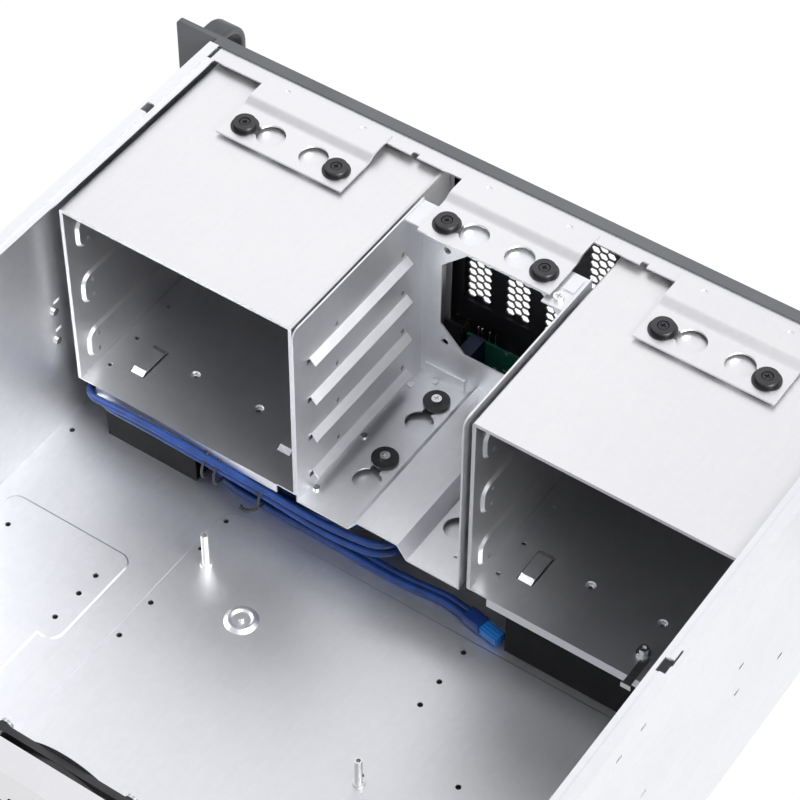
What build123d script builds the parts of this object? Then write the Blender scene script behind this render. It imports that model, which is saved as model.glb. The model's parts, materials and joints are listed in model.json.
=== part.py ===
from build123d import *
import math
import os

os.makedirs("parts", exist_ok=True)

# Lengths are in millimetres. X runs across the case, +Y to its rear, +Z up.
# Y is first measured from the inner front sheet, then moved to the middle of the whole case.

# Body
body_width = 430.0
body_height = 177.0
body_depth = 436.6
sheet = 1.0
half_width = body_width / 2
flange_width = 10.2
flange_outer = 5.2
flange_step = 0.8
floor_raise = 0.6
patch_slope = 60.0

# Front panel and handles
rack_width = 482.6
panel_thick = 3.2
panel_depth = 6.9
panel_bottom = 0.3
panel_corner = 3.0
rack_slot_across = 465.1
rack_slot_rise = 101.6
rack_slot_length = 10.0
rack_slot_height = 6.8
handle_width = 14.5
handle_inner = rack_width / 2 - 14.8 - handle_width
handle_reach = 28.7
handle_thick = 3.0
handle_bend = 14.0
handle_margin = 3.5

# Hexagonal holes of the front mesh
hex_pitch = 5.6
hex_column = 4.85
hex_flats = 5.0
hex_bottom = 74.0
mesh_sheet = 1.0
hex_rows = int((body_height - 7.5 - hex_bottom) / hex_pitch)
strip_centres = (-37.9, -12.6, 12.6, 37.9)

# Large drive cages
cage_inner = 54.8
cage_width = 150.1
cage_top = body_height - 5.5
cage_bottom = 39.0
cage_rear = 145.3
cage_front = 1.3
cage_bend = 1.8
hem_depth = 5.0
hem_thick = 2.2
bay_pitch = (cage_top - cage_bottom - 2.6) / 3
pad_height = 23.0
pad_raise = 1.5
pad_slope = 50.0
strap_outer = 49.3
strap_inner = 51.6
strap_half = 4.2
strap_slit = 0.9
strap_front = 102.3
strap_rear = 125.6
strap_rise = 1.6
pad_rear = 136.3
pad_centres = [cage_bottom + 17.6 + bay_pitch * i for i in range(3)]

# Middle drive cage
middle_half = 52.3
middle_rear = 148.8
middle_top = body_height - 4.0
middle_floor = 39.3
middle_front = 30.6
plateau_half = 13.3
plateau_foot = 19.3
plateau_top = 49.0
ledge_pitch = (middle_top - middle_floor) / 4.5
ledge_heights = [middle_floor + 9.7 + ledge_pitch * i for i in range(4)]
ledge_front = 46.3
ledge_rear = 135.3
ledge_reach = 4.0
window_size = 78.0
window_corner = 16.0
window_height = cage_top - 64.1
keyhole_columns = (-29.7, 29.7)
keyhole_rows = (47.9, 98.0)
keyhole_offset = 17.2
rail_top = 36.0
rail_half = 46.5
rail_front = 36.0
rail_rear = 126.0
rail_leg_rear = 98.0

# Hanging brackets
bracket_centres = {"right": 130.4, "middle": 0.0, "left": -130.6}
bracket_width = 81.5
bracket_sheet = 1.2
bracket_front = 4.8
bracket_web = 21.3
bracket_foot = 27.3
bracket_rear = 53.3
grommet_offset = 30.0
grommet_row = 41.6
bracket_key_offset = 14.0
bracket_key_row = 39.9
key_radius = 8.15
grommet_neck = 5.0
grommet_lower = 7.8
grommet_upper = 6.2
grommet_top = cage_top + 6.4
tie_screw_place = (-44.5, 50.5)
screw_shank = 1.5

# Feet under the cage rears
foot_span = (126.0, 188.0)
foot_span_left = (79.0, 204.0)
foot_rear = 143.8
foot_depth = 18.0

# Board holes in the floor
board_columns = (94.9, -62.3, -186.9)
board_rows = (157.6, 180.7, 252.5, 407.8)
board_hole = 1.6

# Rear tray, fans and power supply opening
tray_back = 420.3
tray_right = 103.0
tray_left = -206.0
tray_step = -57.0
tray_low_top = 60.0
tray_high_top = 124.0
tray_bottom = 3.0
slot_pitch = 20.32
slot_first = -71.0
slot_width = 14.0
slot_bottom = 12.0
slot_top = 112.0
slot_screw_height = 114.6
port_opening = (-59.7, 99.0, 8.0, 52.5)
fan_size = 80.0
fan_depth = 25.0
fan_flange = 3.6
fan_holes = 71.5
fan_height = body_height - 51.0
fan_columns = (-13.0, 69.0)
fan_bore = 38.0
fan_hub = 17.0
fan_blades = 7
fan_shaft = 1.5
running_gap = 0.05
guard_wire = 0.6
guard_rings = (10.0, 18.0, 26.0, 34.0, fan_size / 2)
grille_pitch = 10.6
grille_flats = 9.4
supply_opening = (123.0, 203.0, 14.0, body_height - 21.0)

# Cables
cable_diameter = 4.2

middle_y = (body_depth - handle_reach) / 2


def slab(x0, x1, y0, y1, z0, z1):
    centre = Pos((x0 + x1) / 2, (y0 + y1) / 2, (z0 + z1) / 2)
    return centre * Box(x1 - x0, y1 - y0, z1 - z0)


def post(x, y, z0, z1, radius):
    return Pos(x, y, (z0 + z1) / 2) * Cylinder(radius, z1 - z0)


def peg(x, z, y0, y1, radius):
    return Pos(x, (y0 + y1) / 2, z) * Rot(90, 0, 0) * Cylinder(radius, y1 - y0)


def pin(y, z, x0, x1, radius):
    return Pos((x0 + x1) / 2, y, z) * Rot(0, 90, 0) * Cylinder(radius, x1 - x0)


def upright(outline, y_front, thickness):
    # An outline drawn as (x, z), standing across the case
    return Pos(0, y_front + thickness, 0) * Rot(90, 0, 0) * extrude(outline, thickness)


def window(x0, x1, z0, z1):
    return Pos((x0 + x1) / 2, (z0 + z1) / 2) * Rectangle(x1 - x0, z1 - z0)


def screw(x, y, z, head_radius, head_height, shank_radius, shank_length):
    # A pan head screw standing on z, with a crossed recess
    head = post(x, y, z, z + head_height, head_radius)
    bar = head_radius * 0.55
    deep = z + head_height * 0.5
    groove = slab(x - bar, x + bar, y - 0.35, y + 0.35, deep, z + head_height + 1)
    cross = slab(x - 0.35, x + 0.35, y - bar, y + bar, deep, z + head_height + 1)
    shank = post(x, y, z - shank_length, z, shank_radius)
    return head + shank - groove - cross


def write(name, shape):
    solids = shape.solids()
    whole = solids[0] if len(solids) == 1 else Compound(children=list(solids))
    export_step(Pos(0, -middle_y, 0) * whole, "parts/" + name + ".step")


def write_group(name, shapes):
    solids = [solid for shape in shapes for solid in shape.solids()]
    export_step(Pos(0, -middle_y, 0) * Compound(children=solids), "parts/" + name + ".step")


# Body sheet: floor, side walls and their folded top flanges

supply_panel = (119.8, 205.0, 207.3, 276.4)
supply_panel_long = (132.0, 205.0, 207.3, 404.0)
board_panel = (-198.0, 100.0, 148.3, 414.0)


def floor_patch(area, corner, z0, z1, slope=0):
    # A rounded panel in the floor, its sides leaning in by slope degrees
    x0, x1, y0, y1 = area
    outline = Pos((x0 + x1) / 2, (y0 + y1) / 2, z0) * RectangleRounded(x1 - x0, y1 - y0, corner)
    return extrude(outline, z1 - z0, taper=slope)


def raised_patch(area, corner):
    rim = sheet
    x0, x1, y0, y1 = area
    inner = (x0 + rim, x1 - rim, y0 + rim, y1 - rim)
    top = floor_patch(area, corner, sheet, sheet + floor_raise, patch_slope)
    hollow = floor_patch(inner, corner - rim, 0, floor_raise)
    return top, hollow


floor_single_holes = (
    (94.5, 225.8), (-62.3, 198.6), (-107.2, 229.9), (192.2, 227.7), (130.2, 228.3),
    (130.2, 242.9), (130.7, 262.5), (206.6, 153.7),
)
flange_notches = (
    (208.4, 212.9, 58.3, 65.3), (-211.9, -206.8, 216.3, 225.3), (-212.5, -211.5, 209.3, 220.0),
)
dimple_place = (47.3, 207.6)
dimple_radius = 9.7
dimple_depth = 2.6
standoff_tall = (86.0, 187.5)
standoff_short = (-63.7, 256.7)


def floor_dimple():
    # A round pressed-up dish with sloped sides and a small nub in its middle
    x, y = dimple_place
    base = sheet + floor_raise
    ring = Pos(x, y, base + 0.8) * Cone(dimple_radius, dimple_radius - 2.4, 1.6)
    dish = Pos(x, y, base + 1.1) * Cone(dimple_radius - 4.6, dimple_radius - 3.2, 1.0)
    nub = post(x, y, base, base + dimple_depth, 1.4)
    return ring - dish + nub


def chassis_tub():
    back = body_depth - sheet
    tub = slab(-half_width, half_width, 0, back, 0, sheet)
    tops = []
    hollows = []
    for area, corner in ((supply_panel, 8), (supply_panel_long, 8), (board_panel, 12)):
        top, hollow = raised_patch(area, corner)
        tops.append(top)
        hollows.append(hollow)
    tub = tub + tops - hollows + floor_dimple()
    inner = half_width - sheet
    edge = half_width - flange_width
    step = half_width - flange_outer
    low = body_height - flange_step
    for side in (-1, 1):
        wall = slab(inner, half_width, 0, back, 0, body_height)
        outer_flange = slab(step - sheet, half_width, 0, back, body_height - sheet, body_height)
        inner_flange = slab(edge, step, front_flange_depth + 0.2, back, low - sheet, low)
        form = wall + outer_flange + inner_flange
        tub = tub + (form if side > 0 else mirror(form, Plane.YZ))
    holes = [post(x, y, -1, 4, board_hole) for x, y in floor_single_holes]
    holes += [post(x, y, -1, 4, board_hole) for x in board_columns for y in board_rows]
    holes += [slab(*area, top_edge - 5, top_edge + 5) for area in flange_notches]
    return tub - holes - wall_holes()


def wall_holes():
    high = body_height - 13.2
    slots = ((98.6, 51.5), (146.1, 96.3), (147.0, 75.0), (247.4, high), (268.4, high), (238.8, 99.8))
    cuts = []
    for y, z in slots:
        for side in (-1, 1):
            x = side * half_width
            cuts.append(slab(x - 3, x + 3, y - 2.4, y + 2.4, z - 1.1, z + 1.1))
    return cuts


# Inner front sheet, rear wall and cage feet

top_edge = body_height - sheet
front_flange_depth = 10.3
front_notches = (72.0, -70.0)
centre_opening = (-52.5, 52.5, 20.0, body_height - 9.0)


def front_frame():
    inner = half_width - sheet
    outline = window(-inner, inner, sheet, top_edge - 1)
    outline -= window(*centre_opening)
    for x0, x1 in cage_spans():
        outline -= window(x0 + 1.5, x1 - 1.5, cage_bottom + 1.5, cage_top - 1.5)
    frame = upright(outline, 0, sheet)
    reach = half_width - 8.0
    frame += slab(-reach, reach, 0, front_flange_depth, top_edge - sheet, top_edge)
    frame -= [
        slab(x - 2, x + 2, front_flange_depth - 3, 20, top_edge - 5, top_edge + 5)
        for x in front_notches
    ]
    return frame


def cage_spans():
    return ((cage_inner, cage_inner + cage_width), (-cage_inner - cage_width, -cage_inner))


def hex_hole(x, z, flats):
    return Pos(x, z) * RegularPolygon(flats / 2, 6, major_radius=False)


def grille_holes(centre_x):
    holes = []
    column_step = grille_pitch * math.sqrt(3) / 2
    for column in range(-4, 5):
        for row in range(-4, 5):
            x = column * column_step
            z = (row + 0.5 * (column % 2)) * grille_pitch
            if math.hypot(x, z) < fan_bore - grille_flats / 2 + 1.5:
                holes.append(hex_hole(centre_x + x, fan_height + z, grille_flats))
    return holes


def fan_hole_places(centre_x):
    step = fan_holes / 2
    return [(centre_x + a * step, fan_height + b * step) for a in (-1, 1) for b in (-1, 1)]


def rear_wall():
    inner = half_width - sheet
    outline = window(-inner, inner, sheet, body_height - 1)
    outline -= window(tray_left, tray_right, tray_bottom, tray_low_top)
    outline -= window(tray_left, tray_step, tray_bottom, tray_high_top)
    outline -= window(*supply_opening)
    for centre_x in fan_columns:
        outline -= grille_holes(centre_x)
        outline -= [Pos(x, z) * Circle(2.15) for x, z in fan_hole_places(centre_x)]
    wall = upright(outline, body_depth - sheet, sheet)
    flange_front = body_depth - 14.3
    edge = half_width - flange_width
    wall += slab(-edge, edge, flange_front, body_depth, body_height - sheet, body_height)
    return wall


def slot_centres():
    return [slot_first - slot_pitch * i for i in range(7)]


def rear_tray():
    depth = body_depth - sheet - tray_back
    low = window(tray_left, tray_right, tray_bottom, tray_low_top)
    high = window(tray_left, tray_step, tray_bottom, tray_high_top)
    outer = low + high
    shell = upright(outer, tray_back, depth)
    core = window(tray_left + 1, tray_right - 1, tray_bottom + 1, tray_low_top - 1)
    core += window(tray_left + 1, tray_step - 1, tray_bottom + 1, tray_high_top - 1)
    shell -= upright(core, tray_back + sheet, depth)
    cuts = window(*port_opening)
    for x in slot_centres():
        cuts += window(x - slot_width / 2, x + slot_width / 2, slot_bottom, slot_top)
        cuts += Pos(x, slot_screw_height) * Circle(screw_shank)
    return shell - upright(cuts, tray_back - 1, sheet + 2)


def cage_foot(side):
    # A channel that stands on the floor, open to the front
    x0, x1 = foot_span if side > 0 else foot_span_left
    front = foot_rear - foot_depth
    face = slab(x0, x1, foot_rear - sheet, foot_rear, sheet, cage_bottom)
    top = slab(x0, x1, front, foot_rear, cage_bottom - sheet, cage_bottom)
    base = slab(x0, x1, front, foot_rear, sheet, sheet * 2)
    foot = face + top + base
    return foot if side > 0 else mirror(foot, Plane.YZ)


def cage_rail():
    # A low table under the middle cage that carries its four grommets
    under = rail_top - sheet
    half = rail_half
    rail = slab(-half, half, rail_front, rail_rear, under, rail_top)
    for side in (-1, 1):
        a, b = sorted((side * half, side * (half - sheet)))
        foot_a, foot_b = sorted((side * (half - sheet), side * (half + 4.5)))
        rail += slab(a, b, rail_front, rail_leg_rear, sheet, rail_top)
        rail += slab(foot_a, foot_b, rail_front, rail_leg_rear, sheet, sheet * 2)
    for x in keyhole_columns:
        rail -= [post(x, y, under - 1, rail_top + 1, screw_shank) for y in keyhole_rows]
    return rail


# Front panel, handles, bay covers, buttons and lamps

panel_front = -panel_depth
panel_back = panel_front + panel_thick
panel_half = half_width - 2.0
button_place = (45.5, 46.0)
button_radius = 4.5
reset_place = (45.5, 33.0)
reset_radius = 1.6
button_travel = 1.5
lamp_places = ((42.8, 53.4), (46.7, 53.4), (50.6, 53.4))
lamp_radius = 1.4
port_places = ((14.0, 40.0), (-8.0, 40.0))
port_width = 13.2
port_height = 5.8
cover_gap = 0.4


def bay_boxes():
    boxes = []
    for x0, x1 in cage_spans():
        for level in range(3):
            z0 = cage_bottom + 2 + bay_pitch * level
            boxes.append((x0 + 1.5, x1 - 1.5, z0, z0 + bay_pitch - 0.5))
    return boxes


def rack_slots():
    slots = []
    for a in (-1, 1):
        for b in (-1, 1):
            place = Pos(a * rack_slot_across / 2, body_height / 2 + b * rack_slot_rise / 2)
            slots.append(place * SlotOverall(rack_slot_length, rack_slot_height))
    return slots


def mesh_holes():
    holes = []
    for centre in strip_centres:
        for column in (-1, 0, 1):
            rise = 0 if column else hex_pitch / 2
            for row in range(hex_rows):
                z = hex_bottom + rise + row * hex_pitch
                holes.append(hex_hole(centre + column * hex_column, z, hex_flats))
    return holes


def front_panel():
    height = body_height - panel_bottom
    centre = Pos(0, panel_bottom + height / 2)
    outline = centre * RectangleRounded(rack_width, height, panel_corner)
    for x0, x1, z0, z1 in bay_boxes():
        outline -= window(x0 - cover_gap, x1 + cover_gap, z0 - 0.1, z1 + 0.1)
    outline -= Pos(*button_place) * Circle(button_radius + running_gap)
    outline -= Pos(*reset_place) * Circle(reset_radius + running_gap)
    outline -= [Pos(x, z) * Circle(lamp_radius) for x, z in lamp_places]
    half_port = port_width / 2 + 0.2
    half_rise = port_height / 2 + 0.2
    outline -= [window(x - half_port, x + half_port, z - half_rise, z + half_rise) for x, z in port_places]
    outline -= rack_slots()
    outline -= mesh_holes()
    panel = upright(outline, panel_front, panel_thick)
    mesh_reach = strip_centres[-1] + 2 * hex_column
    mesh_back = panel_front + mesh_sheet
    panel -= slab(-mesh_reach, mesh_reach, mesh_back, 1, hex_bottom - 4, body_height - 4)
    lip = 1.5
    panel += slab(-panel_half, panel_half, panel_back - 0.1, 0, body_height - lip, body_height)
    panel += slab(-panel_half, panel_half, panel_back - 0.1, 0, panel_bottom, panel_bottom + lip)
    for side in (-1, 1):
        a, b = sorted((side * panel_half, side * (panel_half - lip)))
        panel += slab(a, b, panel_back - 0.1, 0, panel_bottom, body_height)
    return panel


def handle(side):
    # A flat strap bowed forward from the panel, seen from the side as a rounded bracket
    top = body_height - handle_margin
    bottom = panel_bottom + handle_margin
    reach = handle_reach - panel_depth
    outer = Pos(reach / 2, (top + bottom) / 2) * RectangleRounded(reach * 2, top - bottom, handle_bend)
    thin = handle_thick
    inner_size = (2 * (reach - thin), top - bottom - 2 * thin)
    inner = Pos(reach / 2, (top + bottom) / 2) * RectangleRounded(*inner_size, handle_bend - thin)
    outer = Pos(-reach / 2, 0) * outer
    inner = Pos(-reach / 2, 0) * inner
    keep = Pos(reach / 2, (top + bottom) / 2) * Rectangle(reach, top - bottom + 2)
    profile = (outer - inner) & keep
    strap = extrude(profile, handle_width)
    # The profile's first axis becomes -Y and its second axis becomes Z
    turned = Plane(origin=(0, panel_front, 0), x_dir=(0, -1, 0), z_dir=(-1, 0, 0)) * strap
    start = handle_inner + handle_width if side > 0 else -handle_inner
    return Pos(start, 0, 0) * turned


def bay_cover(box):
    # A shallow moulded pan with a finger groove along its lower edge
    x0, x1, z0, z1 = box
    cover = slab(x0, x1, panel_front, 0, z0 + 0.15, z1 - 0.15)
    hollow = slab(x0 + 1.6, x1 - 1.6, panel_front + 1.8, 1, z0 + 1.6, z1 - 1.6)
    groove = slab(x0 + 30, x1 - 30, panel_front - 1, panel_front + 0.8, z0 + 4, z0 + 5.5)
    return cover - hollow - groove


def push_button(place, radius, proud):
    # A cap that slides in the panel, with a collar behind it as the stop
    x, z = place
    cap = peg(x, z, panel_front - proud, panel_back, radius)
    collar = peg(x, z, panel_back, panel_back + 0.8, radius + 1.0)
    stem = peg(x, z, panel_back + 0.8, board_front - 0.3 - button_travel, radius * 0.5)
    return cap + collar + stem


socket_bottom = 36.0
socket_top = 57.0
socket_span = (25.5, 34.0)
pin_columns = (20.0, 24.0, 29.0, 31.5)
pin_width = 0.64
board_front = 4.3
board_thick = 1.6
port_board_box = (-30.0, 38.0, 26.0, 54.5)
lamp_board_box = (41.5, 53.4, 28.0, 57.0)


def board(box):
    x0, x1, z0, z1 = box
    return slab(x0, x1, board_front, board_front + board_thick, z0, z1)


def port_shells():
    shells = []
    for x, z in port_places:
        half = port_width / 2
        rise = port_height / 2
        shell = slab(x - half, x + half, panel_front, board_front, z - rise, z + rise)
        shell -= slab(x - half + 0.5, x + half - 0.5, panel_front - 1, 0, z - rise + 0.5, z + rise - 0.5)
        shells.append(shell)
    return shells


def lamp(place):
    x, z = place
    return peg(x, z, panel_front - 0.4, board_front, lamp_radius)


def board_pins():
    # Header pins that stand up past the top of the connector board
    half = pin_width / 2
    front = board_front - pin_width
    top = port_board_box[3] + 7.5
    return [slab(x - half, x + half, front, board_front, top - 13, top) for x in pin_columns]


def board_socket():
    # The plug of the front connector cable on the back of the board
    back = board_front + board_thick
    x0, x1 = socket_span
    return slab(x0, x1, back, back + 16.0, socket_bottom, socket_top)


# Large drive cages

def side_pads(x_wall, inward):
    pads = []
    depth = pad_rear - cage_front - 2
    for z in pad_centres:
        outline = RectangleRounded(depth, pad_height, 8.0)
        pad = extrude(outline, pad_raise, taper=pad_slope)
        place = Plane(
            origin=(x_wall, cage_front + 2 + depth / 2, z), x_dir=(0, inward, 0), z_dir=(inward, 0, 0)
        )
        pads.append(place * pad)
    return pads


def pad_slots(x_wall):
    cuts = []
    for z in pad_centres:
        for rise in (-6.7, 5.2):
            cuts.append(slab(x_wall - 4, x_wall + 4, 126.8, 128.8, z + rise - 1.6, z + rise + 1.6))
    return cuts


def cage_shell(x0, x1):
    # An inverted U with hemmed rear edges
    width = x1 - x0
    middle = (x0 + x1) / 2
    low = cage_bottom + sheet
    height = cage_top - low
    outer = Pos(middle, cage_top - height) * RectangleRounded(width, 2 * height, cage_bend)
    inner = Pos(middle, cage_top - height) * RectangleRounded(
        width - 2 * sheet, 2 * (height - sheet), cage_bend - sheet
    )
    keep = window(x0 - 1, x1 + 1, low, cage_top + 1)
    shell = upright((outer - inner) & keep, cage_front, cage_rear - cage_front)
    hem_inner = window(x0 + hem_thick, x1 - hem_thick, low - 1, cage_top - hem_thick)
    shell += upright((outer - hem_inner) & keep, cage_rear - hem_depth, hem_depth)
    shell += side_pads(x0 + sheet, 1) + side_pads(x1 - sheet, -1)
    cuts = pad_slots(x0) + pad_slots(x1)
    for x in grommet_places():
        if x0 < x < x1:
            cuts.append(post(x, grommet_row, cage_top - 5, cage_top + 5, screw_shank))
    return shell - cuts


def strap_profile(front, rear, low, thick, rise, ramp):
    # The side view of a strap pressed up from a sheet, drawn as (y, z)
    top = low + thick + rise
    points = [
        (front, low), (front, low + thick), (front + ramp, top), (rear - ramp, top),
        (rear, low + thick), (rear, low), (rear - ramp, low + rise), (front + ramp, low + rise),
    ]
    return make_face(Polyline(*points, close=True))


def floor_strap(x):
    # A narrow strap between two slits in a cage floor
    profile = strap_profile(strap_front, strap_rear, cage_bottom, sheet, strap_rise, 3.6)
    place = Plane(origin=(x - strap_half, 0, 0), x_dir=(0, 1, 0), z_dir=(1, 0, 0))
    return place * extrude(profile, 2 * strap_half)


def cage_floor(x0, x1, bores):
    middle = (x0 + x1) / 2
    low = cage_bottom
    high = low + sheet
    floor = slab(x0, x1, cage_front, cage_rear, low, high)
    floor += slab(x0 + 13, x1 - 13, cage_rear - sheet + 0.5, cage_rear + 0.5, low - 5.5, high)
    for seam in (x0 + sheet, x1 - sheet - 0.6):
        floor -= slab(seam, seam + 0.6, 10, cage_rear - 8, high - 0.5, high + 1)
    outward = 1 if middle > 0 else -1
    straps = (middle + outward * strap_outer, middle - outward * strap_inner)
    for x in straps:
        slit = strap_half + strap_slit
        floor -= slab(x - slit, x + slit, strap_front, strap_rear, low - 1, high + 1)
        floor += floor_strap(x)
    for side in (-1, 1):
        ring = middle + side * 21.9
        floor += post(ring, 107.3, low - 2.0, low, 2.5)
        floor -= post(ring, 107.3, low - 1.2, high + 1, 1.9) + post(ring, 107.3, low - 3, high, 1.3)
        floor -= Pos(ring, 107.3, high - 0.4) * Cone(2.1, 2.9, 0.9)
        for y in (128.3, 103.7, 74.3):
            floor -= post(middle + side * 66, y, low - 1, high + 1, 1.3)
    return floor - [post(x, y, low - 1, high + 1, screw_shank) for x, y in bores]


# Middle drive cage

def ledge(side, z):
    # A strip lanced from the wall and pressed inwards, open at both ends
    wall = middle_half - sheet
    points = [
        (wall + 0.5, z + 5.0), (wall - ledge_reach, z + 0.6), (wall - ledge_reach, z - 0.6),
        (wall + 0.5, z + 3.7),
    ]
    outline = make_face(Polyline(*points, close=True))
    strip = upright(outline, ledge_front, ledge_rear - ledge_front)
    return strip if side > 0 else mirror(strip, Plane.YZ)


def keyhole_cuts(x, y, y_key, z0, z1, hole_radius):
    neck = 3.2
    a, b = sorted((y, y_key))
    return [
        post(x, y, z0, z1, hole_radius),
        post(x, y_key, z0, z1, key_radius),
        slab(x - neck, x + neck, a, b, z0, z1),
    ]


def middle_cage_floor():
    wall = middle_half - 0.5
    high = middle_floor + sheet
    lean = 0.55
    top = [
        (-wall, high), (-plateau_foot, high), (-plateau_half, plateau_top),
        (plateau_half, plateau_top), (plateau_foot, high), (wall, high),
    ]
    bottom = [
        (wall, middle_floor), (plateau_foot - lean, middle_floor),
        (plateau_half - lean, plateau_top - sheet), (lean - plateau_half, plateau_top - sheet),
        (lean - plateau_foot, middle_floor), (-wall, middle_floor),
    ]
    outline = make_face(Polyline(*top, *bottom, close=True))
    floor = upright(outline, middle_front, middle_rear - middle_front)
    cuts = []
    for x in keyhole_columns:
        for y in keyhole_rows:
            cuts += keyhole_cuts(x, y, y + keyhole_offset, middle_floor - 1, high + 1, 4.2)
    cuts.append(post(-39.3, 132.1, middle_floor - 1, high + 1, 1.0))
    return floor - cuts


def middle_cage_front():
    wall = middle_half - 0.5
    half = window_size / 2
    octagon = Pos(0, window_height) * chamfer(
        Rectangle(window_size, window_size).vertices(), window_corner
    )
    outline = window(-wall, wall, middle_floor, cage_top - sheet) - octagon
    step = fan_holes / 2
    holes = [Pos(a * step, window_height + b * step) * Circle(2.2) for a in (-1, 1) for b in (-1, 1)]
    under_plateau = window(-plateau_half, plateau_half, middle_floor - 1, plateau_top - sheet)
    return upright(outline - holes - under_plateau, middle_front, sheet)


def drive_cage():
    cage = middle_cage_floor() + middle_cage_front()
    for side in (-1, 1):
        a, b = sorted((side * middle_half, side * (middle_half - sheet)))
        wall = slab(a, b, middle_front, middle_rear, middle_floor, middle_top)
        corner = wall.edges().filter_by(Axis.X).sort_by(Axis.Z)[-2:].sort_by(Axis.Y)[-1]
        wall = fillet(corner, 5.0)
        cuts = []
        for z in ledge_heights:
            cuts.append(slab(a - 1, b + 1, ledge_front, ledge_rear + 2.2, z + 0.2, z + 3.9))
            for y in (50.3, 110.9):
                cuts.append(slab(a - 1, b + 1, y - 1.2, y + 1.2, z + 7.2, z + 10.2))
        cage += wall - cuts + [ledge(side, z) for z in ledge_heights]
    high = middle_floor + sheet
    for x0, x1 in ((22.0, 48.0), (-48.0, -22.0)):
        cage += slab(x0, x1, middle_front + sheet, middle_front + 2 * sheet, high, high + 8.0)
    return cage


def drive_cage_top():
    inner = middle_half - sheet
    rear = grommet_row + 6.9
    plate = slab(-inner, inner, middle_front, rear, cage_top - sheet, cage_top)
    plate += slab(-inner, -38.0, rear, rear + 8.5, cage_top - sheet, cage_top)
    plate += slab(-49.5, -42.5, rear - 15.0, rear - 4.5, cage_top, cage_top + 0.8)
    for side in (-1, 1):
        plate -= post(side * grommet_offset, grommet_row, cage_top - 3, cage_top + 3, screw_shank)
    plate -= post(*tie_screw_place, cage_top - 3, cage_top + 3, screw_shank)
    return plate


# Hanging brackets, grommets and screws

def hanging_bracket(centre):
    t = bracket_sheet
    top = top_edge + t
    low = cage_top + t
    profile = [
        (bracket_front, top_edge), (bracket_web, top_edge), (bracket_foot - 1.5, cage_top),
        (bracket_rear, cage_top), (bracket_rear, low), (bracket_foot, low), (bracket_web + 1.5, top),
        (bracket_front, top),
    ]
    outline = make_face(Polyline(*profile, close=True))
    start = centre - bracket_width / 2
    place = Plane(origin=(start, 0, 0), x_dir=(0, 1, 0), z_dir=(1, 0, 0))
    bracket = place * extrude(outline, bracket_width)
    cuts = []
    for side in (-1, 1):
        x = centre + side * grommet_offset
        x_key = centre + side * bracket_key_offset
        a, b = sorted((x, x_key))
        cuts.append(post(x, grommet_row, cage_top - 1, low + 1, grommet_neck))
        cuts.append(post(x_key, bracket_key_row, cage_top - 1, low + 1, key_radius))
        cuts.append(slab(a, b, grommet_row - 4, grommet_row + 2.4, cage_top - 1, low + 1))
        spot = post(centre + side * 25, 9.7, top - 0.35, top + 1, 1.9)
        cuts.append(spot)
    return bracket - cuts


def bracket_grommet(x):
    low = cage_top + bracket_sheet
    body = post(x, grommet_row, cage_top, low, grommet_neck - 0.05)
    body += post(x, grommet_row, low, low + 2.4, grommet_lower)
    body += post(x, grommet_row, low + 2.4, grommet_top, grommet_upper)
    body -= post(x, grommet_row, grommet_top - 1.8, grommet_top + 1, 3.2)
    return body - post(x, grommet_row, cage_top - 1, grommet_top, screw_shank)


def bracket_screw(x):
    seat = grommet_top - 1.8
    return screw(x, grommet_row, seat, 2.7, 1.5, screw_shank, seat - cage_top + 3.0)


def grommet_places():
    return [c + side * grommet_offset for c in bracket_centres.values() for side in (-1, 1)]


def floor_grommet(x, y):
    high = middle_floor + sheet
    body = post(x, y, high, high + 1.9, 7.7)
    body += post(x, y, rail_top, high, 4.15)
    return body - post(x, y, rail_top - 1, high + 3, screw_shank)


def floor_grommet_screw(x, y):
    seat = middle_floor + sheet + 1.9
    return screw(x, y, seat, 2.9, 1.8, screw_shank, 7.0)


def rivet(x, y, z, radius):
    return post(x, y, z, z + 1.2, radius)


# Small parts on the floor

def standoff(place, height):
    x, y = place
    base = sheet + floor_raise
    foot = post(x, y, base, base + 1.5, 3.4)
    stem = post(x, y, base, base + height, 2.1)
    bore = post(x, y, base + height - 6, base + height + 1, 1.2)
    return foot + stem - bore


clamp_x = -156.7
clamp_screw_place = (-153.5, 129.5)


def cage_clamp():
    # A strap screwed to the cage floor; its rear end folds down behind the floor's lip
    high = cage_bottom + sheet
    rear = cage_rear + 6.7
    strap = slab(clamp_x - 2.3, clamp_x + 2.3, 131.0, rear, high, high + 1.2)
    leg = slab(clamp_x - 2.8, clamp_x + 3.2, rear - 1.2, rear, high - 2.6, high + 1.2)
    x, y = clamp_screw_place
    seat = post(x, y, high, high + 1.2, 4.0)
    return strap + leg + seat - post(x, y, high - 3, high + 3, screw_shank)


def clamp_screw():
    # A hexagonal head with a flange
    x, y = clamp_screw_place
    seat = cage_bottom + sheet + 1.2
    head = Pos(x, y, seat + 0.8) * extrude(RegularPolygon(2.7, 6), 3.0)
    head -= post(x, y, seat + 2.6, seat + 5, 1.5)
    return head + post(x, y, seat, seat + 0.8, 3.4) + post(x, y, seat - 2.2, seat, screw_shank)


# Rear parts

def slot_blank(x):
    # A flat strip over one slot
    half = slot_width / 2 + 2.2
    front = tray_back - 0.9
    strip = slab(x - half, x + half, front, tray_back, slot_bottom - 4, slot_top + 4)
    return strip - peg(x, slot_screw_height, front - 1, tray_back + 1, screw_shank)


def slot_screw(x):
    turned = Rot(90, 0, 0) * screw(0, 0, 0, 3.0, 2.0, screw_shank, 3.0)
    return Pos(x, tray_back - 0.9, slot_screw_height) * turned


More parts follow.
